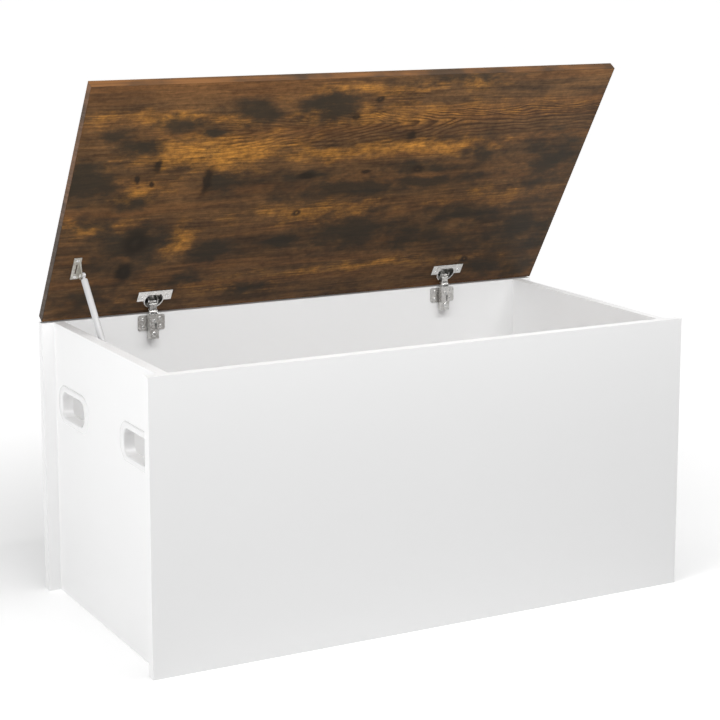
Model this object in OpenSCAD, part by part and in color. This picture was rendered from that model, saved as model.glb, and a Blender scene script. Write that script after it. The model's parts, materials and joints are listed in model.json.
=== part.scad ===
// Lidded toy box: laminated boards joined with cam locks and dowels, a wood-print lid on two
// concealed cup hinges, one gas strut at the left and four lined hand holes.
// Origin: centre of the footprint, on the floor. +X along the front, +Y to the back, +Z up.

/* [Box] */
// Length of the front and back panels
box_w = 1000; // [900:10:1200]
// Depth over the front and back panels
box_d = 500; // [440:10:600]
// Height of the upright boards
box_h = 480; // [440:10:560]
// Thickness of the carcass boards
board_t = 18; // [16:1:19]
// Distance from a panel's end to the side board's outer face
side_inset = 22; // [14:1:30]
// Height of the bottom board above the floor
bottom_z = 20; // [12:1:60]

/* [Lid] */
// Thickness of the lid board
lid_t = 16; // [16:1:18]
// Gap under the closed lid
lid_gap = 2.4; // [2.4:0.1:3]
// Opening angle at which the strut stops the lid
lid_open = 57.4; // [45:0.1:60]
// Thickness of the glued edge band
band_t = 0.8; // [0.4:0.1:2]

/* [Hand holes] */
// Length of the opening
hole_w = 107; // [90:1:120]
// Height of the opening
hole_h = 43.5; // [36:0.5:50]
// Distance of each hole from the middle of the side board
hole_y = 143.5; // [120:0.5:150]
// Height of the hole's centre
hole_z = 344.5; // [330:0.5:370]
// Width of the liner's flange beside the opening
rim_w = 17.5; // [8:0.5:20]
// Width of the liner's flange above and below the opening
rim_h = 11.5; // [6:0.5:14]

/* [Hinges] */
// Distance of each hinge from the middle of the box
hinge_x = 298.5; // [200:0.5:380]
// Cup diameter
cup_d = 35; // [35:1:35]
// Distance of the cup's centre from the lid's back edge
cup_u = 29; // [27:0.5:30]
// Depth of the cup
cup_depth = 11.8; // [11.5:0.1:11.8]

/* [Gas strut] */
// Length between the end fittings with the rod out
strut_len = 244; // [230:1:260]
// Lean of the strut from upright when the lid is open
strut_lean = 41.2; // [40:0.1:42]
// Tube radius
tube_r = 5.6; // [5:0.1:6.5]
// Rod radius
rod_r = 2.5; // [2.5:0.5:3]
// Distance of the strut's centre line from the left side board
strut_off = 11.5; // [11:0.1:14]

/* [Hidden] */
$fn = 48;

// Places of the boards
half_w = box_w / 2;
half_d = box_d / 2;
side_out = half_w - side_inset;
side_in = side_out - board_t;
side_mid = side_out - board_t / 2;
inner_y = half_d - board_t;
bottom_mid = bottom_z + board_t / 2;
lid_z = box_h + lid_gap;

// Joinery: places along the boards and sizes of the fittings
cam_zs = [90, 290];
dowel_zs = [150, 400];
end_cam_ys = [-150, 150];
end_dowel_ys = [-60, 60];
long_cam_xs = [-300, 300];
long_dowel_xs = [-120, 120];
cam_reach = 34;
cam_r = 7.4;
cam_bore_r = 7.5;
cam_bore_depth = 13.6;
bolt_thread_r = 2.5;
bolt_thread_len = 10.5;
bolt_shaft_r = 2.4;
bolt_head_r = 3.4;
bolt_bore_r = 4;
dowel_r = 4;
dowel_in_face = 12;
dowel_in_edge = 20;
slack = 0.05;

// Lid pivot line, in the Y-Z plane
pivot = [half_d - 8, lid_z + 14.5];
function turn(p, a) = pivot + [(p[0] - pivot[0]) * cos(a) - (p[1] - pivot[1]) * sin(a),
    (p[0] - pivot[0]) * sin(a) + (p[1] - pivot[1]) * cos(a)];

// Hand hole liners
rim_proud = 2.2;
sleeve_t = 1.6;
hole_r = 17;
rim_r = 29;
sleeve_short = 0.6;

// Hinge arm and links, measured from the back board's inner face
arm_w = 17.2;
arm_wall = 1.4;
arm_front = -14;
arm_back = -2;
arm_bottom = 436;
arm_top = box_h + 1;
nose_w = 15.2;
nose_r = 2.4;
outer_pivot = [-10.5, box_h + 4.5];
inner_pivot = [-7, box_h + 7.9];
outer_len = 14.2;
inner_len = 15.5;
outer_rest = 93;
inner_rest = 96;
link_w = 12.4;
link_t = 2;
knuckle_r = 2.2;
pin_r = 1;
run_gap = 0.05;
adjust_z = 468.7;
clamp_z = 445.3;
keyhole_x = 3.4;
keyhole_r = 1.9;
keyhole_zs = [clamp_z + 8, clamp_z + 17];
wing_hole_x = 16;
wing_zs = [456.5, 470.5];
plate_low = 450;
plate_high = 477.5;
wing_w = 51;
wing_t = 1.5;
tower_w = 13.4;
cup_screw_x = 24;
cup_screw_u = 36.5;
flange_w = 64;
flange_u = [28.3, 50.2];
flange_t = 1;
mouth_u = 41.5;

// Strut fittings, measured from the lid's back edge and underside
strut_x = -side_in + strut_off;
eye_u = 112;
eye_h = 12.3;
eye_closed = [half_d - eye_u, lid_z - eye_h];
eye_open = turn(eye_closed, -lid_open);
stud_yz = eye_open - strut_len * [sin(strut_lean), cos(strut_lean)];
bracket_t = 1.6;
lid_plate_x = [-half_w + 34.5, -half_w + 48.5];
lid_plate_u = [95.3, 142.5];
lid_screw_us = [101, 136.5];
side_screw_dz = 15;
tube_top = 9;
tube_len = 135;
tube_bore_r = tube_r - 1.1;
eye_r = 5;
eye_w = 5;
eye_pin_r = 2.5;
socket_w = 6.8;
ball_r = 2.7;
ball_gap = 0.5;

// Cylinders along each axis, starting at p
module rod_x(p, r, l) { translate(p) rotate([0, 90, 0]) cylinder(r = r, h = l); }
module rod_y(p, r, l) { translate(p) rotate([-90, 0, 0]) cylinder(r = r, h = l); }
module rod_z(p, r, l) { translate(p) cylinder(r = r, h = l); }

// A Y-Z outline pulled along X, centred
module along_x(w) { rotate([90, 0, 90]) linear_extrude(w, center = true) children(); }

// A box from its low and high corners
module block(low, high) { translate(low) cube(high - low); }

// A rectangle with round corners, centred
module round_rect(w, h, r) {
    square([w - 2 * r, h], center = true);
    square([w, h - 2 * r], center = true);
    for (sx = [-1, 1], sy = [-1, 1]) {
        translate([sx * (w / 2 - r), sy * (h / 2 - r)]) circle(r);
    }
}

// A bar with round ends from a to b
module bar(a, b, r) {
    d = b - a;
    translate(a) circle(r);
    translate(b) circle(r);
    translate(a) rotate(atan2(d[1], d[0])) translate([0, -r]) square([norm(d), 2 * r]);
}

// Screw along +Z with its head's top at 0 and a cross recess
module screw(shank_r, shank_len, head_r, head_t) {
    difference() {
        union() {
            translate([0, 0, -head_t]) cylinder(r = head_r, h = head_t);
            translate([0, 0, -head_t - shank_len]) cylinder(r = shank_r, h = shank_len + 0.5);
        }
        for (a = [0, 90]) {
            rotate(a) translate([-head_r * 0.6, -0.35, -head_t * 0.6]) cube([head_r * 1.2, 0.7, head_t]);
        }
    }
}

// Joint spots: the joint face is X = 0, +X runs into the board with the cam, -Z is its cam face
module at_side_joints(zs) {
    for (side = [0, 1], end = [-1, 1], z = zs) {
        mirror([side, 0, 0]) translate([-side_mid, end * inner_y, z]) rotate([90 * end, 0, 0])
            rotate([0, -90, 0]) children();
    }
}
module at_end_joints(ys) {
    for (side = [-1, 1], y = ys) {
        translate([side * side_in, y, bottom_mid]) rotate(side > 0 ? 180 : 0) children();
    }
}
module at_long_joints(xs) {
    for (end = [-1, 1], x = xs) {
        translate([x, end * inner_y, bottom_mid]) rotate(-90 * end) children();
    }
}
module at_cams() {
    at_side_joints(cam_zs) children();
    at_end_joints(end_cam_ys) children();
    at_long_joints(long_cam_xs) children();
}
module at_dowels() {
    at_side_joints(dowel_zs) children();
    at_end_joints(end_dowel_ys) children();
    at_long_joints(long_dowel_xs) children();
}

module cam_holes() {
    rod_x([-bolt_thread_len - 0.5, 0, 0], bolt_thread_r + slack, bolt_thread_len + 1);
    rod_x([-0.01, 0, 0], bolt_bore_r, cam_reach);
    rod_z([cam_reach, 0, -board_t / 2 - 1], cam_bore_r, cam_bore_depth + 1);
}
module cam_lock() {
    difference() {
        rod_z([cam_reach, 0, 0.2 - board_t / 2], cam_r, cam_bore_depth - 0.5);
        rod_x([cam_reach - cam_bore_r - 1, 0, 0], bolt_head_r + 0.3, cam_bore_r + 5);
        for (a = [0, 90]) {
            translate([cam_reach, 0, -board_t / 2]) rotate(a + 45) cube([9, 1.4, 3.6], center = true);
        }
    }
}
module cam_bolt() {
    rod_x([-bolt_thread_len, 0, 0], bolt_thread_r, bolt_thread_len);
    rod_x([0, 0, 0], bolt_head_r, 1.5);
    rod_x([1.4, 0, 0], bolt_shaft_r, cam_reach - 0.4);
    rod_x([cam_reach - 1, 0, 0], bolt_head_r, 3);
}
module dowel(extra) {
    rod_x([-dowel_in_face - extra * 10, 0, 0], dowel_r + extra, dowel_in_face + dowel_in_edge + extra * 20);
}
module all_joint_holes() {
    at_cams() cam_holes();
    at_dowels() dowel(slack);
}

// Carcass boards
module front_panel() {
    color("white") difference() {
        block([-half_w, -half_d, 0], [half_w, -inner_y, box_h]);
        all_joint_holes();
    }
}
module back_panel() {
    color("white") difference() {
        block([-half_w, inner_y, 0], [half_w, half_d, box_h]);
        all_joint_holes();
        for (side = [-1, 1]) at_plate_screws(side) rod_y([0, -0.01, 0], 1.75, 14);
    }
}
module side_board() {
    difference() {
        block([-side_out, -inner_y, 0], [-side_in, inner_y, box_h]);
        all_joint_holes();
        for (end = [-1, 1]) {
            translate([-side_mid, end * hole_y, hole_z])
                along_x(board_t + 2) round_rect(hole_w + 2 * sleeve_t + 0.2, hole_h + 2 * sleeve_t + 0.2,
                    hole_r + sleeve_t + 0.1);
        }
    }
}
module left_side_panel() {
    color("white") difference() {
        side_board();
        at_side_screws() rod_x([-12.5, 0, 0], 1.75, 13);
    }
}
module right_side_panel() { color("white") mirror([1, 0, 0]) side_board(); }
module bottom_panel() {
    color("white") difference() {
        block([-side_in, -inner_y, bottom_z], [side_in, inner_y, bottom_z + board_t]);
        all_joint_holes();
    }
}

// Joinery
module cam_locks() { color("silver") at_cams() cam_lock(); }
module cam_bolts() { color("goldenrod") at_cams() cam_bolt(); }
module wooden_dowels() { color("burlywood") at_dowels() dowel(0); }

// Hand hole liner on the left side board: a rounded flange and a sleeve through the board
module liner(end) {
    color("whitesmoke") translate([-side_out, end * hole_y, hole_z]) difference() {
        union() {
            translate([-rim_proud / 4 - 0.1, 0, 0])
                along_x(rim_proud / 2 + 0.2) round_rect(hole_w + 2 * rim_w, hole_h + 2 * rim_h, rim_r);
            translate([-rim_proud / 2, 0, 0])
                along_x(rim_proud) round_rect(hole_w + 2 * rim_w - 3, hole_h + 2 * rim_h - 3, rim_r - 1.5);
            translate([(board_t - sleeve_short) / 2, 0, 0])
                along_x(board_t - sleeve_short) round_rect(hole_w + 2 * sleeve_t, hole_h + 2 * sleeve_t,
                    hole_r + sleeve_t);
        }
        along_x(3 * board_t) round_rect(hole_w, hole_h, hole_r);
    }
}
module handle_left_front() { liner(-1); }
module handle_left_rear() { liner(1); }
module handle_right_front() { mirror([1, 0, 0]) liner(-1); }
module handle_right_rear() { mirror([1, 0, 0]) liner(1); }

// Hinges: y = 0 is the back board's inner face
module at_hinge(side) { translate([side * hinge_x, inner_y, 0]) children(); }
module at_plate_screws(side) {
    at_hinge(side) for (sx = [-1, 1], z = wing_zs) translate([sx * wing_hole_x, 0, z]) children();
}
module keyhole(extra) {
    rod_y([keyhole_x, arm_front - 1, keyhole_zs[1]], keyhole_r + extra, 5.6);
    block([keyhole_x - keyhole_r / 2 - extra, arm_front - 1, keyhole_zs[0] - extra],
        [keyhole_x + keyhole_r / 2 + extra, arm_front + 4.6, keyhole_zs[1]]);
}
module hinge_arm() {
    color("silver") difference() {
        union() {
            block([-arm_w / 2, arm_front, arm_bottom], [arm_w / 2, arm_back, arm_top]);
            along_x(nose_w) {
                bar(outer_pivot, inner_pivot, nose_r);
                polygon([[arm_front, arm_top], [arm_front + 2, arm_top + 3], outer_pivot, inner_pivot,
                    [arm_back - 4, arm_top]]);
            }
        }
        block([-arm_w / 2 + arm_wall, arm_front + arm_wall, arm_bottom - 1],
            [arm_w / 2 - arm_wall, 1, arm_top - 1]);
        block([-link_w / 2 - 0.2, arm_front + arm_wall, arm_top - 3], [link_w / 2 + 0.2, 1, arm_top + 20]);
        block([-link_w / 2 - 0.2, arm_front - 1, arm_top], [link_w / 2 + 0.2, 1, arm_top + 20]);
        for (p = [outer_pivot, inner_pivot]) rod_x([-arm_w, p[0], p[1]], pin_r + run_gap, 2 * arm_w);
        rod_y([0, arm_front - 1, adjust_z], 2.1, 4);
        rod_y([0, arm_front - 1, clamp_z], 2.6, 4);
        keyhole(0);
    }
}
module hinge_arm_left() { at_hinge(-1) hinge_arm(); }
module hinge_arm_right() { at_hinge(1) hinge_arm(); }
module mounting_plate() {
    mid = (plate_low + plate_high) / 2;
    color("silver") difference() {
        union() {
            translate([0, -wing_t / 2, mid]) rotate([90, 0, 0])
                linear_extrude(wing_t, center = true) round_rect(wing_w, plate_high - plate_low, 4);
            block([-tower_w / 2, -11.4, arm_bottom + 3], [tower_w / 2, 0, plate_high]);
        }
        block([-tower_w / 2 + 1.6, -9.8, arm_bottom], [tower_w / 2 - 1.6, 1, plate_high + 1]);
        rod_y([0, -12, adjust_z], 2.05, 3);
        rod_y([0, -12, clamp_z], 2.55, 3);
        keyhole(0.4);
        for (sx = [-1, 1]) {
            rod_y([sx * wing_hole_x, -wing_t - 1, wing_zs[0]], 1.8, 4);
            for (dz = [-1, 1]) rod_y([sx * wing_hole_x, -wing_t - 1, wing_zs[1] + dz], 1.8, 4);
            block([sx * wing_hole_x - 1.8, -wing_t - 1, wing_zs[1] - 1],
                [sx * wing_hole_x + 1.8, 1, wing_zs[1] + 1]);
        }
    }
}
module mounting_plate_left() { at_hinge(-1) mounting_plate(); }
module mounting_plate_right() { at_hinge(1) mounting_plate(); }
module mounting_plate_screws() {
    color("gainsboro") for (side = [-1, 1]) {
        at_plate_screws(side) translate([0, -wing_t - 1.3, 0]) rotate([90, 0, 0]) screw(1.7, 14, 3.1, 1.3);
    }
}
module hinge_adjusting_screws() {
    color("gainsboro") for (side = [-1, 1]) {
        at_hinge(side) translate([0, arm_front - 1.4, adjust_z]) rotate([90, 0, 0]) screw(2, 5, 3.2, 1.4);
    }
}
module hinge_clamp_screws() {
    color("gainsboro") for (side = [-1, 1]) {
        at_hinge(side) translate([0, arm_front - 2.2, clamp_z]) rotate([90, 0, 0]) screw(2.5, 6, 4.5, 2.2);
    }
}
module hinge_arm_pins() {
    color("lightgray") for (side = [-1, 1], p = [outer_pivot, inner_pivot]) {
        at_hinge(side) rod_x([-nose_w / 2, p[0], p[1]], pin_r, nose_w);
    }
}

// Links: each turns on its pin in the arm, and its free end lies in the cup
module link(base, len, rest, tip_r) {
    tip = base + len * [cos(rest), sin(rest)];
    color("silver") difference() {
        along_x(link_w) {
            translate(base) circle(knuckle_r);
            bar(base, tip, link_t / 2);
            translate(tip) circle(tip_r);
        }
        rod_x([-link_w, base[0], base[1]], pin_r + run_gap, 2 * link_w);
        rod_x([-link_w, tip[0], tip[1]], 0.7, 2 * link_w);
        translate([0, base[0], base[1]]) rotate([rest, 0, 0])
            block([-link_w / 2 + 2, len * 0.3, -5], [link_w / 2 - 2, len * 0.42, 5]);
    }
}
module link_pin(base, len, rest) {
    tip = base + len * [cos(rest), sin(rest)];
    color("lightgray") rod_x([-nose_w / 2, tip[0], tip[1]], 0.68, nose_w);
}
module outer_link_left() { at_hinge(-1) link(outer_pivot, outer_len, outer_rest, 1.4); }
module outer_link_right() { at_hinge(1) link(outer_pivot, outer_len, outer_rest, 1.4); }
module outer_pin_left() { at_hinge(-1) link_pin(outer_pivot, outer_len, outer_rest); }
module outer_pin_right() { at_hinge(1) link_pin(outer_pivot, outer_len, outer_rest); }
module inner_link_left() { at_hinge(-1) link(inner_pivot, inner_len, inner_rest, 1.6); }
module inner_link_right() { at_hinge(1) link(inner_pivot, inner_len, inner_rest, 1.6); }
module inner_pin_left() { at_hinge(-1) link_pin(inner_pivot, inner_len, inner_rest); }
module inner_pin_right() { at_hinge(1) link_pin(inner_pivot, inner_len, inner_rest); }

// The lid's pieces are drawn closed, then swung open about the pivot line
module swung() {
    translate([0, pivot[0], pivot[1]]) rotate([-lid_open, 0, 0]) translate([0, -pivot[0], -pivot[1]])
        children();
}
module at_cup(side) { translate([side * hinge_x, half_d - cup_u, lid_z]) children(); }
module at_cup_screws(side) {
    for (sx = [-1, 1]) translate([side * hinge_x + sx * cup_screw_x, half_d - cup_screw_u, lid_z]) children();
}
module at_lid_screws() {
    for (u = lid_screw_us) translate([lid_plate_x[0] + 7, half_d - u, lid_z - bracket_t]) children();
}
module lid_panel() {
    color("saddlebrown") swung() difference() {
        block([-half_w + band_t, -half_d + band_t, lid_z], [half_w - band_t, half_d - band_t, lid_z + lid_t]);
        for (side = [-1, 1]) {
            at_cup(side) rod_z([0, 0, -1], cup_d / 2 + 0.1, cup_depth + 1.2);
            at_cup_screws(side) rod_z([0, 0, -1], 1.55, 12);
        }
        at_lid_screws() rod_z([0, 0, 0], 1.55, 12);
    }
}
module lid_edge_band() {
    color("dimgray") swung() difference() {
        block([-half_w, -half_d, lid_z], [half_w, half_d, lid_z + lid_t]);
        block([-half_w + band_t, -half_d + band_t, lid_z - 1],
            [half_w - band_t, half_d - band_t, lid_z + lid_t + 1]);
    }
}
module hinge_cup(side) {
    ear_x = nose_w / 2 + 1;
    color("silver") swung() at_cup(side) difference() {
        union() {
            rod_z([0, 0, -0.6], cup_d / 2 + 1, 0.6);
            rod_z([0, 0, -0.6], cup_d / 2, cup_depth + 0.6);
            block([-flange_w / 2, cup_u - flange_u[1], -flange_t], [flange_w / 2, cup_u - flange_u[0], 0]);
        }
        difference() {
            rod_z([0, 0, -2], cup_d / 2 - 0.8, cup_depth + 1.2);
            block([-cup_d, -cup_d, -3], [cup_d, cup_u - mouth_u, 0.2]);
            for (sx = [-1, 1]) {
                block([sx * ear_x - 0.6, 0, 0.3], [sx * ear_x + 0.6, 9, cup_depth]);
            }
        }
        for (sx = [-1, 1]) rod_z([sx * cup_screw_x, cup_u - cup_screw_u, -2], 1.6, 3);
    }
}
module hinge_cup_left() { hinge_cup(-1); }
module hinge_cup_right() { hinge_cup(1); }
module hinge_cup_screws() {
    color("gainsboro") swung() for (side = [-1, 1]) {
        at_cup_screws(side) translate([0, 0, -flange_t - 1.1]) mirror([0, 0, 1]) screw(1.5, 11, 3, 1.1);
    }
}

// Gas strut. The lid bracket is drawn closed with the lid
module strut_lid_bracket() {
    color("silver") swung() difference() {
        union() {
            block([lid_plate_x[0], half_d - lid_plate_u[1], lid_z - bracket_t],
                [lid_plate_x[1], half_d - lid_plate_u[0], lid_z]);
            translate([lid_plate_x[1] - bracket_t / 2, half_d, lid_z])
                along_x(bracket_t) polygon([[-133, 0], [-117, -17], [-113, -18.5], [-107, -18], [-102, -10],
                    [-100, 0]]);
        }
        rod_x([lid_plate_x[0], eye_closed[0], eye_closed[1]], eye_pin_r + 0.02, 30);
        block([lid_plate_x[0] + 6.1, half_d - 127.6, lid_z - 3],
            [lid_plate_x[0] + 8.3, half_d - 107, lid_z + 1]);
        at_lid_screws() rod_z([0, 0, -1], 1.6, 4);
    }
}
module strut_lid_screws() {
    color("gainsboro") swung() at_lid_screws() translate([0, 0, -0.5]) mirror([0, 0, 1])
        screw(1.5, 11, 2.9, 0.5);
}
module strut_lid_pin() {
    color("lightgray") swung() {
        rod_x([lid_plate_x[1] - bracket_t - 1, eye_closed[0], eye_closed[1]], 3.5, 1);
        rod_x([lid_plate_x[1] - bracket_t - 0.1, eye_closed[0], eye_closed[1]], eye_pin_r, 9);
    }
}
module strut_pin_clip() {
    color("dimgray") swung() difference() {
        rod_x([strut_x + eye_w / 2 + 0.3, eye_closed[0], eye_closed[1]], 4.2, 0.9);
        rod_x([strut_x, eye_closed[0], eye_closed[1]], eye_pin_r + 0.02, 9);
    }
}
module strut_frame() {
    translate([strut_x, eye_open[0], eye_open[1]]) rotate([-strut_lean, 0, 0]) children();
}
module strut_tube() {
    color("lightgray") strut_frame() difference() {
        rod_z([0, 0, -tube_top - tube_len], tube_r, tube_len);
        rod_z([0, 0, -tube_top - tube_len - 1], tube_bore_r, tube_len - 2);
    }
}
module strut_top_eye() {
    color("silver") strut_frame() difference() {
        union() {
            rod_x([-eye_w / 2, 0, 0], eye_r, eye_w);
            rod_z([0, 0, -tube_top], 2.4, tube_top - 4);
        }
        rod_x([-eye_w, 0, 0], eye_pin_r + run_gap, 2 * eye_w);
    }
}
module strut_ring(low, high) {
    strut_frame() difference() {
        rod_z([0, 0, low], tube_bore_r - slack, high - low);
        rod_z([0, 0, low - 1], rod_r + run_gap, high - low + 2);
    }
}
module strut_rod_guide() { color("dimgray") strut_ring(-tube_top - tube_len, -tube_top - tube_len + 8); }
module strut_seal() { color("black") strut_ring(-tube_top - tube_len + 8.4, -tube_top - tube_len + 11.4); }
module strut_rod() {
    color("gainsboro") strut_frame() {
        rod_z([0, 0, 13 - strut_len], rod_r, strut_len - tube_top - tube_len - 0.5);
        rod_z([0, 0, 6 - strut_len], 2, strut_len - tube_top - tube_len + 13);
    }
}
module strut_piston() {
    color("gray") strut_frame() difference() {
        rod_z([0, 0, 12.5 - tube_top - tube_len], tube_bore_r - 0.1, 6);
        rod_z([0, 0, 12 - tube_top - tube_len], 2.02, 8);
    }
}
module strut_socket() {
    color("dimgray") strut_frame() translate([0, 0, -strut_len]) difference() {
        union() {
            rod_x([-socket_w / 2, 0, 0], 5.5, socket_w);
            rod_z([0, 0, 3], socket_w / 2, 10);
        }
        rod_z([0, 0, 5.9], 2.02, 12);
        rod_x([-socket_w / 2 - 1, 0, 0], ball_r + 0.3, 3);
    }
}
module at_side_screws() {
    for (dz = [-1, 1]) translate([-side_in, stud_yz[0], stud_yz[1] + dz * side_screw_dz]) children();
}
module strut_side_bracket() {
    color("silver") translate([-side_in + bracket_t / 2, stud_yz[0], stud_yz[1]]) difference() {
        along_x(bracket_t) round_rect(22, 42, 5);
        rod_x([-5, 0, 0], 2.02, 10);
        for (dz = [-1, 1]) rod_x([-5, 0, dz * side_screw_dz], 1.8, 10);
    }
}
module strut_ball_stud() {
    ball_x = strut_off - socket_w / 2 - ball_gap - ball_r;
    color("lightgray") translate([-side_in, stud_yz[0], stud_yz[1]]) {
        rod_x([0, 0, 0], 1.9, ball_x);
        translate([ball_x, 0, 0]) sphere(r = ball_r);
    }
}
module strut_side_screws() {
    color("gainsboro") at_side_screws() translate([bracket_t + 1, 0, 0]) rotate([0, 90, 0])
        screw(1.7, 13, 3.1, 1);
}

front_panel();
back_panel();
left_side_panel();
right_side_panel();
bottom_panel();
cam_locks();
cam_bolts();
wooden_dowels();
handle_left_front();
handle_left_rear();
handle_right_front();
handle_right_rear();
hinge_arm_left();
hinge_arm_right();
mounting_plate_left();
mounting_plate_right();
mounting_plate_screws();
hinge_adjusting_screws();
hinge_clamp_screws();
hinge_arm_pins();
strut_side_bracket();
strut_ball_stud();
strut_side_screws();
lid_panel();
lid_edge_band();
hinge_cup_left();
hinge_cup_right();
hinge_cup_screws();
strut_lid_bracket();
strut_lid_screws();
strut_lid_pin();
strut_pin_clip();
outer_link_left();
outer_link_right();
outer_pin_left();
outer_pin_right();
inner_link_left();
inner_link_right();
inner_pin_left();
inner_pin_right();
strut_tube();
strut_top_eye();
strut_rod_guide();
strut_seal();
strut_rod();
strut_piston();
strut_socket();
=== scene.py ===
"""Look of the lidded toy box: a white laminate carcass, a dark rustic wood-print lid on two cup hinges,
one gas strut at the left and four lined hand holes. Metres, in the CAD model's frame."""
import math

import bmesh
import bpy
from mathutils import Matrix, Vector
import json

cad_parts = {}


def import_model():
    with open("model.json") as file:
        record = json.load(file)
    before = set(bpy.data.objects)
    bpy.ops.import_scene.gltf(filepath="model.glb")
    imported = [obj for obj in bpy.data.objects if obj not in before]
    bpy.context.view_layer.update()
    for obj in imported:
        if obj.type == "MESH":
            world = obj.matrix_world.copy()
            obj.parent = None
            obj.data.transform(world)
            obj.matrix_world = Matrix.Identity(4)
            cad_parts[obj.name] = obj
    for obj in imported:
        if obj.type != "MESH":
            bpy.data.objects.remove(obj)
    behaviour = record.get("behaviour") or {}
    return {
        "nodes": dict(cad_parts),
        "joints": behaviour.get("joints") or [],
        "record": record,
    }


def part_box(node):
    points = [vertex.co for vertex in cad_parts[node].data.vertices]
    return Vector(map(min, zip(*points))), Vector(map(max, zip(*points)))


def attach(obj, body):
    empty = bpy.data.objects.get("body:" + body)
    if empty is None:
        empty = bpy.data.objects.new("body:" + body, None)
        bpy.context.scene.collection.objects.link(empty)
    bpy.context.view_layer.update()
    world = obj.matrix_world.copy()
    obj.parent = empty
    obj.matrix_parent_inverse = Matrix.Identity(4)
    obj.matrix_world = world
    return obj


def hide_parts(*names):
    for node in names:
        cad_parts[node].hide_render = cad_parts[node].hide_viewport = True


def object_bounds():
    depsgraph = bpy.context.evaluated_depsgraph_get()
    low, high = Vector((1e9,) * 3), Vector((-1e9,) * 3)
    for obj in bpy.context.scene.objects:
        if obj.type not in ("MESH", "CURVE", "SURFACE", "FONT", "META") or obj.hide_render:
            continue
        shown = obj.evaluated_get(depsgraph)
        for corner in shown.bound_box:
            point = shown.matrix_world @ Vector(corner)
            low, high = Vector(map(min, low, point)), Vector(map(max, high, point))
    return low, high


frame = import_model()
cad_low, cad_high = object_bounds()

MM = 0.001
CAD = frame["nodes"]
JOINTS = {joint["name"]: joint for joint in frame["joints"]}
LID_AXIS = Vector(JOINTS["lid_hinge"]["pos_m"])
LID_OPEN = math.radians(JOINTS["lid_hinge"]["range_deg"][1])
SLOTS = {part["node"]: part["material_slot"] for part in frame["record"]["subparts"]}
BODIES = {node: body for body, nodes in frame["record"]["behaviour"]["bodies"].items() for node in nodes}


# ---------------------------------------------------------------- shader graphs

def tone(red, green, blue):
    """A display colour, 0 to 255, as the linear colour that shaders use."""
    def linear(value):
        value /= 255
        return value / 12.92 if value <= 0.04045 else ((value + 0.055) / 1.055) ** 2.4
    return (linear(red), linear(green), linear(blue), 1)


class Shader:
    """One material and short calls that add nodes to it. A number or an output can be given as any input."""

    def __init__(self, name, **surface):
        self.material = bpy.data.materials.new(name)
        self.material.use_nodes = True
        self.tree = self.material.node_tree
        self.surface = self.tree.nodes["Principled BSDF"]
        for socket, value in surface.items():
            self.surface.inputs[socket.replace("_", " ")].default_value = value
        self.place = self.add("TexCoord").outputs["Object"]

    def add(self, kind, inputs=(), **settings):
        node = self.tree.nodes.new("ShaderNode" + kind)
        for name, value in settings.items():
            setattr(node, name, value)
        for key, value in dict(inputs).items():
            self.give(node.inputs[key], value)
        return node

    def give(self, socket, value):
        if isinstance(value, bpy.types.NodeSocket):
            self.tree.links.new(value, socket)
        else:
            socket.default_value = value

    def mapped(self, place, scale=(1, 1, 1), location=(0, 0, 0), rotation=(0, 0, 0)):
        return self.add("Mapping", {"Vector": place, "Scale": scale, "Location": location,
                                    "Rotation": rotation}).outputs["Vector"]

    def noise(self, place, scale, detail=3.0, roughness=0.5):
        return self.add("TexNoise", {"Vector": place, "Scale": scale, "Detail": detail,
                                     "Roughness": roughness}).outputs["Fac"]

    def math(self, operation, first, second=0.0):
        return self.add("Math", {0: first, 1: second}, operation=operation).outputs[0]

    def fit(self, value, low, high, out_low=0.0, out_high=1.0, smooth=True):
        kind = "SMOOTHSTEP" if smooth else "LINEAR"
        return self.add("MapRange", {"Value": value, "From Min": low, "From Max": high, "To Min": out_low,
                                     "To Max": out_high}, interpolation_type=kind).outputs["Result"]

    def mix(self, share, first, second, blend="MIX"):
        node = self.add("Mix", data_type="RGBA", blend_type=blend)
        self.give(node.inputs["Factor"], share)
        self.give(node.inputs[6], first)
        self.give(node.inputs[7], second)
        return node.outputs[2]

    def colour(self, value):
        self.give(self.surface.inputs["Base Color"], value)

    def rough(self, value):
        self.give(self.surface.inputs["Roughness"], value)

    def bump(self, height, strength, distance):
        normal = self.add("Bump", {"Height": height, "Strength": strength, "Distance": distance})
        self.give(self.surface.inputs["Normal"], normal.outputs["Normal"])


def white_laminate():
    """Melamine-faced board: cool white, satin, with a fine pearl texture and faint handling marks."""
    look = Shader("white_laminate", Specular_IOR_Level=0.45)
    cloud = look.noise(look.place, 3.0, 2.0)
    look.colour(look.mix(cloud, (0.86, 0.86, 0.86, 1), (0.875, 0.875, 0.875, 1)))
    pearl = look.noise(look.place, 900.0, 2.0)
    smears = look.noise(look.mapped(look.place, (1, 1, 2)), 9.0, 4.0)
    look.rough(look.fit(smears, 0.3, 0.7, 0.34, 0.44))
    look.bump(pearl, 0.08, 0.00008)
    return look.material


def plastic(name, colour, roughness, texture=0.03):
    """Moulded plastic: an even colour with a slight mould texture."""
    look = Shader(name, Specular_IOR_Level=0.5)
    flow = look.noise(look.place, 24.0, 2.0)
    darker = tuple(0.95 * value for value in colour[:3]) + (1,)
    look.colour(look.mix(flow, colour, darker))
    grain = look.noise(look.place, 220.0, 2.0)
    look.rough(look.fit(grain, 0.3, 0.7, roughness - 0.03, roughness + 0.05))
    look.bump(grain, texture, 0.0002)
    return look.material


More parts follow.
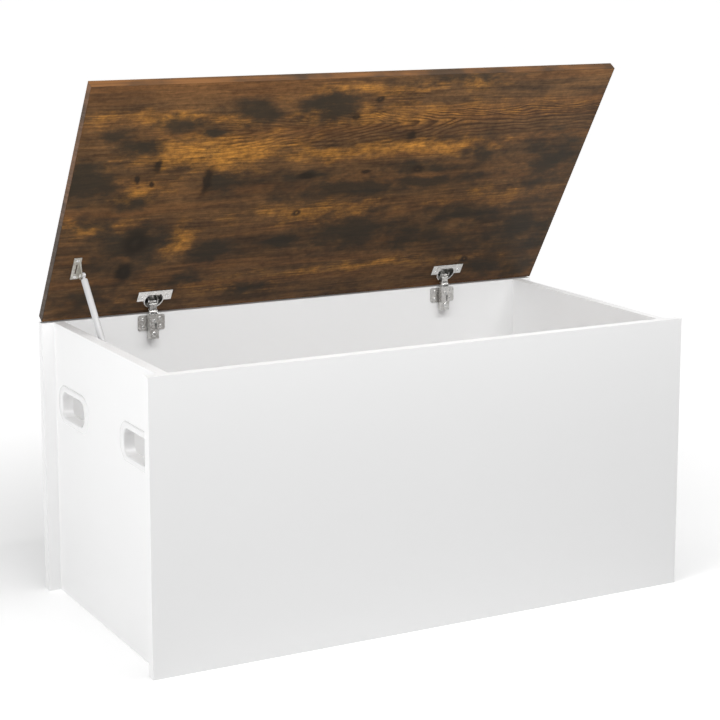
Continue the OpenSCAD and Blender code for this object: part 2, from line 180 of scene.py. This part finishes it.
def plated(name, colour, dark, roughness, cells=0.0):
    """Plated steel: slight clouds in tone and gloss, with painted shade in its hollows. cells adds
    galvanised flowers.
    """
    look = Shader(name, Metallic=1.0)
    mottle = look.noise(look.place, 160.0, 4.0, 0.55)
    rolled = look.noise(look.mapped(look.place, (1, 1, 2)), 420.0, 2.0)
    if cells:
        flower = look.add("TexVoronoi", {"Vector": look.place, "Scale": cells}).outputs["Color"]
        mottle = look.mix(0.35, mottle, look.add("RGBToBW", {"Color": flower}).outputs["Val"])
    open_metal = look.mix(look.fit(mottle, 0.25, 0.6), dark, colour)
    # Painted shade: where ambient occlusion within 7 mm finds other surfaces close by (creases, recesses,
    # between parts), the colour is darkened towards 0.40 of the dark tone.
    painted_hollow_shade = tuple(0.40 * value for value in dark[:3]) + (1,)
    occlusion_shade_mask = look.add("AmbientOcclusion", {"Distance": 7 * MM}, samples=8).outputs["AO"]
    look.colour(look.mix(look.fit(occlusion_shade_mask, 0.20, 0.85), painted_hollow_shade, open_metal))
    look.rough(look.fit(rolled, 0.25, 0.75, roughness - 0.04, roughness + 0.06))
    look.bump(rolled, 0.02, 0.00005)
    return look.material


def bare_wood():
    """Pressed beech dowel wood."""
    look = Shader("dowel_wood", Specular_IOR_Level=0.3)
    grain = look.noise(look.mapped(look.place, (30, 400, 400)), 2.0, 4.0)
    look.colour(look.mix(grain, tone(168, 128, 84), tone(214, 178, 130)))
    look.rough(look.fit(grain, 0.3, 0.7, 0.6, 0.75))
    look.bump(grain, 0.2, 0.0002)
    return look.material


# Wood print of the lid, in the closed lid's own plan: x along it, y from its front edge (-0.25) back.
# Each spot is x, y, half length, half width and strength.
AMBER_SPOTS = ((-0.24, -0.105, 0.19, 0.050, 1.2), (0.13, -0.092, 0.20, 0.026, 1.1),
               (-0.05, -0.085, 0.12, 0.022, 0.8), (-0.36, -0.180, 0.16, 0.024, 0.7),
               (0.10, -0.165, 0.34, 0.030, 0.6), (-0.28, 0.088, 0.035, 0.045, 0.9),
               (-0.44, 0.045, 0.10, 0.022, 0.6), (-0.04, 0.040, 0.16, 0.026, 0.6),
               (0.02, -0.222, 0.16, 0.016, 0.6), (0.22, -0.232, 0.05, 0.020, 0.6),
               (0.10, 0.182, 0.26, 0.014, 0.7), (-0.20, 0.205, 0.14, 0.020, 0.4),
               (-0.37, -0.030, 0.06, 0.030, 0.5), (0.33, 0.030, 0.12, 0.020, 0.4))
DARK_SPOTS = ((-0.065, -0.192, 0.062, 0.036, 1.2), (-0.200, -0.190, 0.055, 0.030, 1.1),
              (-0.325, -0.168, 0.062, 0.022, 1.3), (-0.445, -0.147, 0.055, 0.018, 0.9),
              (-0.400, -0.122, 0.045, 0.020, 0.9), (-0.260, -0.146, 0.040, 0.010, 0.9),
              (-0.480, -0.050, 0.080, 0.052, 1.3), (-0.390, -0.010, 0.042, 0.024, 1.0),
              (-0.225, -0.038, 0.050, 0.028, 0.9), (-0.065, -0.040, 0.110, 0.014, 0.9),
              (0.030, -0.008, 0.190, 0.024, 1.1), (0.210, -0.014, 0.130, 0.016, 1.2),
              (0.160, -0.044, 0.100, 0.016, 0.8), (-0.450, 0.040, 0.055, 0.024, 0.9),
              (-0.365, 0.095, 0.090, 0.052, 1.3), (-0.370, 0.150, 0.040, 0.034, 1.1),
              (-0.210, 0.114, 0.065, 0.028, 1.2), (-0.090, 0.103, 0.060, 0.018, 1.1),
              (0.060, 0.095, 0.120, 0.052, 1.2), (0.230, 0.120, 0.160, 0.036, 0.9),
              (0.280, 0.070, 0.110, 0.026, 0.8), (-0.250, 0.175, 0.040, 0.020, 0.7),
              (0.300, -0.070, 0.060, 0.030, 0.6), (0.440, -0.040, 0.100, 0.070, 0.8),
              (0.420, 0.120, 0.110, 0.080, 0.8), (0.160, -0.240, 0.120, 0.012, 0.7),
              (0.420, 0.215, 0.110, 0.036, 0.9), (-0.130, 0.215, 0.050, 0.014, 0.8),
              (-0.440, 0.215, 0.090, 0.026, 0.5))
# Each knot is x, y, half length, half width and how light its middle is.
KNOTS = ((-0.352, -0.083, 0.006, 0.011, 0.0), (-0.256, -0.043, 0.006, 0.024, 0.1),
         (-0.066, -0.040, 0.014, 0.006, 0.1), (0.031, -0.202, 0.006, 0.006, 0.7),
         (0.119, -0.118, 0.008, 0.008, 0.0), (-0.065, 0.043, 0.007, 0.006, 0.9),
         (0.155, -0.043, 0.010, 0.007, 0.3), (-0.370, 0.150, 0.012, 0.016, 0.3),
         (0.329, 0.188, 0.007, 0.006, 0.9), (-0.385, -0.055, 0.004, 0.007, 0.0),
         (-0.355, -0.042, 0.004, 0.005, 0.0), (0.050, -0.042, 0.008, 0.004, 0.2),
         (-0.004, -0.165, 0.005, 0.006, 0.2), (-0.360, 0.085, 0.018, 0.020, 0.6))
# Growth rings: the ridge line's y, the stretch of x that its arches are in, how many there are, and the
# spacing of the rings. They lie closer on the ridge's front side.
RIDGE_Y, RIDGE_START, RIDGE_END, ARCHES, RING = -0.150, -0.20, 0.22, 12.0, 0.0080
FRONT_CROWDING = 1.7


def wood_print():
    """Dark rustic wood print: grain along the lid, arched growth rings, amber light and dark smudges."""
    look = Shader("wood_print", Specular_IOR_Level=0.14)
    turned = Matrix.Rotation(LID_OPEN, 3, "X") @ LID_AXIS
    plan = look.mapped(look.place, location=LID_AXIS - turned, rotation=(LID_OPEN, 0, 0))
    plan = look.mapped(plan, scale=(1, 1, 0))

    def wander(place, scale, frequency, amount, detail=3.0):
        """place, pushed about by noise."""
        shift = look.add("TexNoise", {"Vector": look.mapped(place, scale), "Scale": frequency,
                                      "Detail": detail})
        centred = look.add("VectorMath", {0: shift.outputs["Color"], 1: (0.5, 0.5, 0.5)},
                           operation="SUBTRACT")
        scaled = look.add("VectorMath", {0: centred.outputs[0], 1: amount}, operation="MULTIPLY")
        return look.add("VectorMath", {0: place, 1: scaled.outputs[0]}).outputs[0]

    def radius(place, x, y, length, width):
        """Distance from a spot's middle, 1 at its rim."""
        local = look.mapped(place, (1 / length, 1 / width, 0), (-x / length, -y / width, 0))
        return look.add("VectorMath", {0: local}, operation="LENGTH").outputs["Value"]

    def spots(place, table):
        """How far inside the nearest of a table's spots: its strength in the middle, 0 at the rim."""
        total = -1.0
        for x, y, length, width, strength in table:
            away = radius(place, x, y, length, width)
            inside = look.fit(away, 0.0, 2.0, strength, -strength, smooth=False)
            total = look.math("MAXIMUM", total, inside)
        return total

    def times(first, second):
        return look.math("MULTIPLY", first, second)

    def plus(first, second):
        return look.math("ADD", first, second)

    # Growth rings: ripples round the ridge line, closing in arches along part of it
    flow = wander(plan, (2.2, 5, 1), 3.0, (0.05, 0.040, 0), 2.0)
    flow = wander(flow, (5, 12, 1), 3.0, (0.03, 0.014, 0), 1.0)
    parts = look.add("SeparateXYZ", {0: flow})
    across = look.math("SUBTRACT", parts.outputs["Y"], RIDGE_Y)
    off_ridge = look.math("MAXIMUM", across, times(across, -FRONT_CROWDING))
    rounded = look.math("SQRT", plus(times(off_ridge, off_ridge), RING * RING))
    arches = look.fit(parts.outputs["X"], RIDGE_START, RIDGE_END, 0.0, ARCHES, smooth=False)
    height = plus(times(rounded, 1 / RING), arches)
    height = plus(height, times(look.noise(look.mapped(plan, (9, 50, 1)), 1.0, 3.0, 0.5), 0.9))
    ring = look.math("FRACT", height)
    ring_line = times(look.fit(ring, 0.30, 0.74), look.fit(ring, 1.0, 0.84))
    near_ridge = look.fit(off_ridge, 0.030, 0.060, 1.0, 0.12)
    along = look.fit(parts.outputs["X"], -0.30, -0.20, 0.3, 1.0)
    faint = look.fit(look.noise(look.mapped(plan, (4, 16, 1)), 1.0, 3.0), 0.36, 0.56, 0.55, 1.0)
    ring_line = times(times(ring_line, near_ridge), times(along, faint))

    # Grain at four widths
    wavy = wander(plan, (2.5, 9, 1), 1.0, (0, 0.024, 0))
    hair = look.noise(look.mapped(wavy, (30, 700, 1)), 1.0, 3.0, 0.7)
    fibre = look.noise(look.mapped(wavy, (12, 260, 1)), 1.0, 4.0, 0.7)
    streak = look.noise(look.mapped(wavy, (4, 85, 1)), 1.0, 4.0, 0.65)
    band = look.noise(look.mapped(wavy, (1.6, 24, 1)), 1.0, 3.0, 0.6)
    flecks = look.noise(look.mapped(plan, (75, 110, 1)), 1.0, 4.0, 0.7)
    pores = look.noise(look.mapped(plan, (350, 800, 1)), 1.0, 2.0, 0.5)

    # Smudges and amber light, with ragged rims
    smeared = wander(plan, (1, 1.5, 1), 9.0, (0.06, 0.040, 0), 5.0)
    clouds = look.noise(look.mapped(plan, (20, 32, 1)), 1.0, 8.0, 0.62)
    rag = look.fit(clouds, 0.25, 0.75, -0.75, 0.75, smooth=False)
    fine_rag = look.fit(fibre, 0.25, 0.75, -0.35, 0.35, smooth=False)
    dark = plus(plus(spots(smeared, DARK_SPOTS), rag), fine_rag)
    dark = look.fit(dark, -0.30, 0.85)
    glow = plus(plus(spots(smeared, AMBER_SPOTS), times(rag, -0.8)), fine_rag)
    glow = times(look.fit(glow, -0.10, 1.30), look.fit(flecks, 0.30, 0.62, 0.6, 1.0))

    blotch = look.noise(look.mapped(smeared, (8, 15, 1)), 1.0, 5.0, 0.6)
    mottled = plus(times(streak, 0.45), times(blotch, 0.55))
    body = look.mix(look.fit(mottled, 0.38, 0.62), tone(62, 46, 31), tone(106, 76, 46))
    body = look.mix(look.fit(band, 0.42, 0.68, 0.0, 0.45), body, tone(122, 80, 42))
    body = look.mix(times(glow, 0.90), body, tone(184, 126, 52))
    body = look.mix(times(look.fit(clouds, 0.50, 0.72), look.fit(glow, 0.35, 0.9, 0.0, 0.5)), body,
                    tone(208, 154, 72))
    body = look.mix(times(ring_line, 0.85), body, tone(60, 40, 24))
    lines = times(look.fit(fibre, 0.30, 0.68, 0.70, 1.26, smooth=False),
                  look.fit(hair, 0.28, 0.70, 0.80, 1.17, smooth=False))
    lines = times(lines, look.fit(flecks, 0.32, 0.66, 0.74, 1.24, smooth=False))
    shade = look.add("CombineColor", {0: lines, 1: lines, 2: lines}).outputs[0]
    body = look.mix(1.0, body, shade, "MULTIPLY")
    body = look.mix(times(dark, 0.86), body, tone(43, 39, 31))
    speckle = times(look.fit(pores, 0.58, 0.70), look.fit(clouds, 0.44, 0.60, 0.15, 0.9))
    body = look.mix(times(speckle, 0.55), body, tone(36, 30, 22))
    uneven = wander(plan, (1, 1, 1), 50.0, (0.016, 0.012, 0), 4.0)
    for x, y, length, width, light in KNOTS:
        away = radius(uneven, x, y, length, width)
        rim = times(look.fit(away, 1.9, 0.6), look.fit(away, 0.0, 0.7, 1 - light, 1.0))
        body = look.mix(times(rim, 0.90), body, tone(35, 28, 20))
    look.colour(body)
    look.rough(look.fit(fibre, 0.3, 0.7, 0.50, 0.40))
    look.bump(plus(fibre, times(pores, 0.4)), 0.18, 0.0002)
    return look.material


def edge_band():
    """The lid's edge band: the same dark rustic print, with its grain along the edge."""
    look = Shader("edge_band", Specular_IOR_Level=0.18)
    grain = look.noise(look.mapped(look.place, (9, 9, 300)), 1.0, 4.0)
    patches = look.noise(look.place, 9.0, 4.0)
    print_tone = look.mix(look.fit(patches, 0.40, 0.62), tone(64, 50, 38), tone(112, 76, 44))
    look.colour(look.mix(look.fit(grain, 0.35, 0.65, 0.0, 0.45), print_tone, tone(52, 40, 29)))
    look.rough(look.fit(grain, 0.3, 0.7, 0.4, 0.5))
    look.bump(grain, 0.1, 0.0002)
    return look.material


MATERIALS = {
    "white_laminate": white_laminate(),
    "wood_print": wood_print(),
    "edge_band": edge_band(),
    "white_liner": plastic("white_liner", (0.84, 0.84, 0.84, 1), 0.22),
    "plated_steel": plated("plated_steel", (0.74, 0.73, 0.71, 1), (0.64, 0.63, 0.61, 1), 0.27),
    "zinc_steel": plated("zinc_steel", (0.64, 0.62, 0.57, 1), (0.48, 0.46, 0.42, 1), 0.36, cells=260.0),
    "bright_steel": plated("bright_steel", (0.92, 0.92, 0.91, 1), (0.82, 0.82, 0.81, 1), 0.15),
    "cam_metal": plated("cam_metal", (0.55, 0.55, 0.55, 1), (0.35, 0.35, 0.35, 1), 0.45),
    "dowel_wood": bare_wood(),
    "white_tube": plastic("white_tube", (0.58, 0.58, 0.585, 1), 0.21, texture=0.01),
    "seal_rubber": plastic("seal_rubber", (0.025, 0.025, 0.025, 1), 0.7),
    "dark_plastic": plastic("dark_plastic", (0.05, 0.05, 0.052, 1), 0.42),
}


# ---------------------------------------------------------------- pieces

SHARP = math.radians(38)
SEAM = 0.002 * MM
# A screw head's rim: this near its full radius, and this near its top
RIM_SHARE, RIM_DEPTH = 0.95, 0.05 * MM


def piece(name, mesh, node):
    """Adds a finished bmesh as the visible piece of a CAD node, on its body and in its material."""
    for face in mesh.faces:
        face.smooth = True
    for edge in mesh.edges:
        edge.smooth = len(edge.link_faces) == 2 and edge.calc_face_angle() < SHARP
    data = bpy.data.meshes.new(name)
    mesh.to_mesh(data)
    mesh.free()
    if "custom_normal" in data.attributes:
        data.attributes.remove(data.attributes["custom_normal"])
    data.materials.append(MATERIALS[SLOTS[node]])
    shown = bpy.data.objects.new(name, data)
    bpy.context.scene.collection.objects.link(shown)
    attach(shown, BODIES[node])
    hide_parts(node)
    even = shown.modifiers.new("even_normals", "WEIGHTED_NORMAL")
    even.keep_sharp = True
    even.weight = 80
    return shown


def welded(node):
    """A CAD node's mesh with its seams merged."""
    mesh = bmesh.new()
    mesh.from_mesh(CAD[node].data)
    bmesh.ops.remove_doubles(mesh, verts=mesh.verts, dist=SEAM)
    return mesh


def rounded_off(mesh, edges, width, segments):
    """Rounds the given edges of a mesh over."""
    bmesh.ops.bevel(mesh, geom=edges, offset=width, segments=segments, profile=0.5, affect="EDGES",
                    clamp_overlap=True)


def softened(node, width, segments=2):
    """The CAD node's shape with its hard edges rounded, or left sharp where width is 0."""
    mesh = welded(node)
    if width:
        hard = [edge for edge in mesh.edges
                if len(edge.link_faces) == 2 and edge.calc_face_angle() > SHARP]
        rounded_off(mesh, hard, width, segments)
        bmesh.ops.dissolve_degenerate(mesh, edges=mesh.edges, dist=SEAM / 2)
    return piece(node + "_finished", mesh, node)


def crowned(node, out, rounding):
    """A node of several screws whose heads are rounded over. out is the way that the heads face."""
    mesh = welded(node)
    rims, seen = [], set()
    for start in list(mesh.verts):
        if start in seen:
            continue
        screw = [start]
        seen.add(start)
        for vertex in screw:
            for edge in vertex.link_edges:
                if edge.other_vert(vertex) not in seen:
                    seen.add(edge.other_vert(vertex))
                    screw.append(edge.other_vert(vertex))
        middle = sum((vertex.co for vertex in screw), Vector()) / len(screw)
        from_axis = {}
        for vertex in screw:
            offset = vertex.co - middle
            from_axis[vertex] = (offset - offset.dot(out) * out).length
        radius = max(from_axis.values())
        top = max(vertex.co.dot(out) for vertex in screw)
        rim = {vertex for vertex in screw
               if from_axis[vertex] > RIM_SHARE * radius and top - vertex.co.dot(out) < RIM_DEPTH}
        rims += [edge for edge in mesh.edges if edge.verts[0] in rim and edge.verts[1] in rim]
    rounded_off(mesh, rims, rounding, 4)
    return piece(node + "_finished", mesh, node)


def rounded_outline(width, height, corner, steps=10):
    """Points (across, up) round a rounded rectangle, the same number for every size."""
    points = []
    for turn, (side, end) in enumerate(((1, 1), (-1, 1), (-1, -1), (1, -1))):
        for step in range(steps + 1):
            angle = math.radians(90) * (turn + step / steps)
            points.append((side * (width / 2 - corner) + corner * math.cos(angle),
                           end * (height / 2 - corner) + corner * math.sin(angle)))
    return points


# Hand-hole liner: width, height and corner of its opening and of its sleeve's outside, the rim's corner,
# and how far the rim stands proud of the board.
LINER_OPENING = (107 * MM, 43.5 * MM, 17 * MM)
LINER_SLEEVE = (110.2 * MM, 46.7 * MM, 18.6 * MM)
LINER_CORNER = 29 * MM
LINER_PROUD = 2.2 * MM


def liner(node, side):
    """Hand-hole liner: a sleeve through the board that rolls over into a broad, softly domed rim."""
    low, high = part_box(node)
    middle_y, middle_z = (low[1] + high[1]) / 2, (low[2] + high[2]) / 2
    rim = (high[1] - low[1], high[2] - low[2], LINER_CORNER)
    face = (low[0] + LINER_PROUD) if side < 0 else (high[0] - LINER_PROUD)
    depth = (high[0] - low[0]) - LINER_PROUD
    # share of the way from the opening to the rim, and height over the board
    profile = ((0.0, -depth), (0.0, -1.5 * MM), (0.012, 0.1 * MM), (0.05, 1.2 * MM), (0.11, 1.85 * MM),
               (0.20, 2.15 * MM), (0.32, 2.2 * MM), (0.60, 2.12 * MM), (0.80, 1.9 * MM), (0.90, 1.6 * MM),
               (0.96, 1.1 * MM), (1.0, 0.45 * MM), (1.0, 0.0))
    outlines = [(tuple(a + share * (b - a) for a, b in zip(LINER_OPENING, rim)), up)
                for share, up in profile]
    outlines += [(LINER_SLEEVE, 0.0), (LINER_SLEEVE, -depth)]
    mesh = bmesh.new()
    loops = [[mesh.verts.new((face + side * up, middle_y + across, middle_z + rise))
              for across, rise in rounded_outline(*sizes)] for sizes, up in outlines]
    for first, second in zip(loops, loops[1:] + loops[:1]):
        for i in range(len(first)):
            j = (i + 1) % len(first)
            mesh.faces.new((first[i], first[j], second[j], second[i]))
    bmesh.ops.recalc_face_normals(mesh, faces=mesh.faces)
    return piece(node + "_finished", mesh, node)


for place in ("front", "rear"):
    liner("handle_left_" + place, -1)
    liner("handle_right_" + place, 1)

BOARD_EDGE, BAND_EDGE, TUBE_EDGE, SMALL_EDGE = 0.5 * MM, 0.4 * MM, 0.9 * MM, 0.25 * MM
for board in ("front_panel", "back_panel", "left_side_panel", "right_side_panel", "bottom_panel"):
    softened(board, BOARD_EDGE)
softened("lid_panel", 0)
softened("lid_edge_band", BAND_EDGE)
softened("strut_tube", TUBE_EDGE, 4)

TO_FRONT, TO_RIGHT = Vector((0, -1, 0)), Vector((1, 0, 0))
OFF_LID = Matrix.Rotation(-LID_OPEN, 3, "X") @ Vector((0, 0, -1))
for screws, out, rounding in (("hinge_clamp_screws", TO_FRONT, 1.4 * MM),
                              ("hinge_adjusting_screws", TO_FRONT, 0.9 * MM),
                              ("mounting_plate_screws", TO_FRONT, 0.85 * MM),
                              ("hinge_cup_screws", OFF_LID, 0.75 * MM),
                              ("strut_side_screws", TO_RIGHT, 0.6 * MM)):
    crowned(screws, out, rounding)
# Every node that nothing above has replaced
for node in CAD:
    if not CAD[node].hide_render:
        softened(node, SMALL_EDGE)


# ---------------------------------------------------------------- floor, light and camera

def floor():
    """A plain pale floor, a light table whose own light fades in away from the box."""
    mesh = bmesh.new()
    bmesh.ops.create_grid(mesh, x_segments=2, y_segments=2, size=60)
    data = bpy.data.meshes.new("floor")
    mesh.to_mesh(data)
    mesh.free()
    look = Shader("floor", Roughness=0.9, Specular_IOR_Level=0.1)
    look.colour((0.93, 0.93, 0.93, 1))
    look.surface.inputs["Emission Color"].default_value = (1, 1, 1, 1)
    away = look.add("VectorMath", {0: look.place}, operation="LENGTH").outputs["Value"]
    look.give(look.surface.inputs["Emission Strength"], look.fit(away, 0.4, 1.9, 0.29, 0.74))
    data.materials.append(look.material)
    ground = bpy.data.objects.new("floor", data)
    ground.location.z = cad_low.z - 0.2 * MM
    bpy.context.scene.collection.objects.link(ground)


def softbox(name, place, size, watts, aim=(0, 0, 0.35)):
    """A rectangular soft light that faces aim."""
    data = bpy.data.lights.new(name, "AREA")
    data.shape = "RECTANGLE"
    data.size, data.size_y = size
    data.energy = watts
    lamp = bpy.data.objects.new(name, data)
    lamp.location = place
    lamp.rotation_euler = (Vector(aim) - Vector(place)).to_track_quat("-Z", "Y").to_euler()
    bpy.context.scene.collection.objects.link(lamp)


def camera():
    """The photograph's viewing angle: from the left of the front, a little above the box."""
    data = bpy.data.cameras.new("camera")
    data.sensor_width = 36
    data.lens = 97.27
    data.shift_y = -0.12
    stand = (-1.5718, -2.9247, 1.1204)
    yaw, pitch = 0.4923, 0.1666
    view = Vector((math.sin(yaw) * math.cos(pitch), math.cos(yaw) * math.cos(pitch), -math.sin(pitch)))
    eye = bpy.data.objects.new("camera", data)
    eye.location = stand
    eye.rotation_euler = view.to_track_quat("-Z", "Y").to_euler()
    bpy.context.scene.collection.objects.link(eye)
    bpy.context.scene.camera = eye


def world(strength):
    """Even surroundings that light the box at strength and are plain white where they are seen."""
    sky = bpy.data.worlds.new("surroundings")
    sky.use_nodes = True
    tree = sky.node_tree
    background = tree.nodes["Background"]
    background.inputs["Color"].default_value = (1, 1, 1, 1)
    seen = tree.nodes.new("ShaderNodeLightPath").outputs["Is Camera Ray"]
    level = tree.nodes.new("ShaderNodeMapRange")
    level.inputs["To Min"].default_value = strength
    level.inputs["To Max"].default_value = 1.0
    tree.links.new(seen, level.inputs["Value"])
    tree.links.new(level.outputs["Result"], background.inputs["Strength"])
    bpy.context.scene.world = sky


floor()
world(0.285)
softbox("left_key", (-2.9, -0.72, 0.6), (1.8, 1.8), 28)
softbox("over_opening", (0.05, -0.40, 1.25), (1.8, 0.4), 13, aim=(0.05, 0.22, 0.3))
camera()
bpy.context.scene.view_settings.view_transform = "Standard"
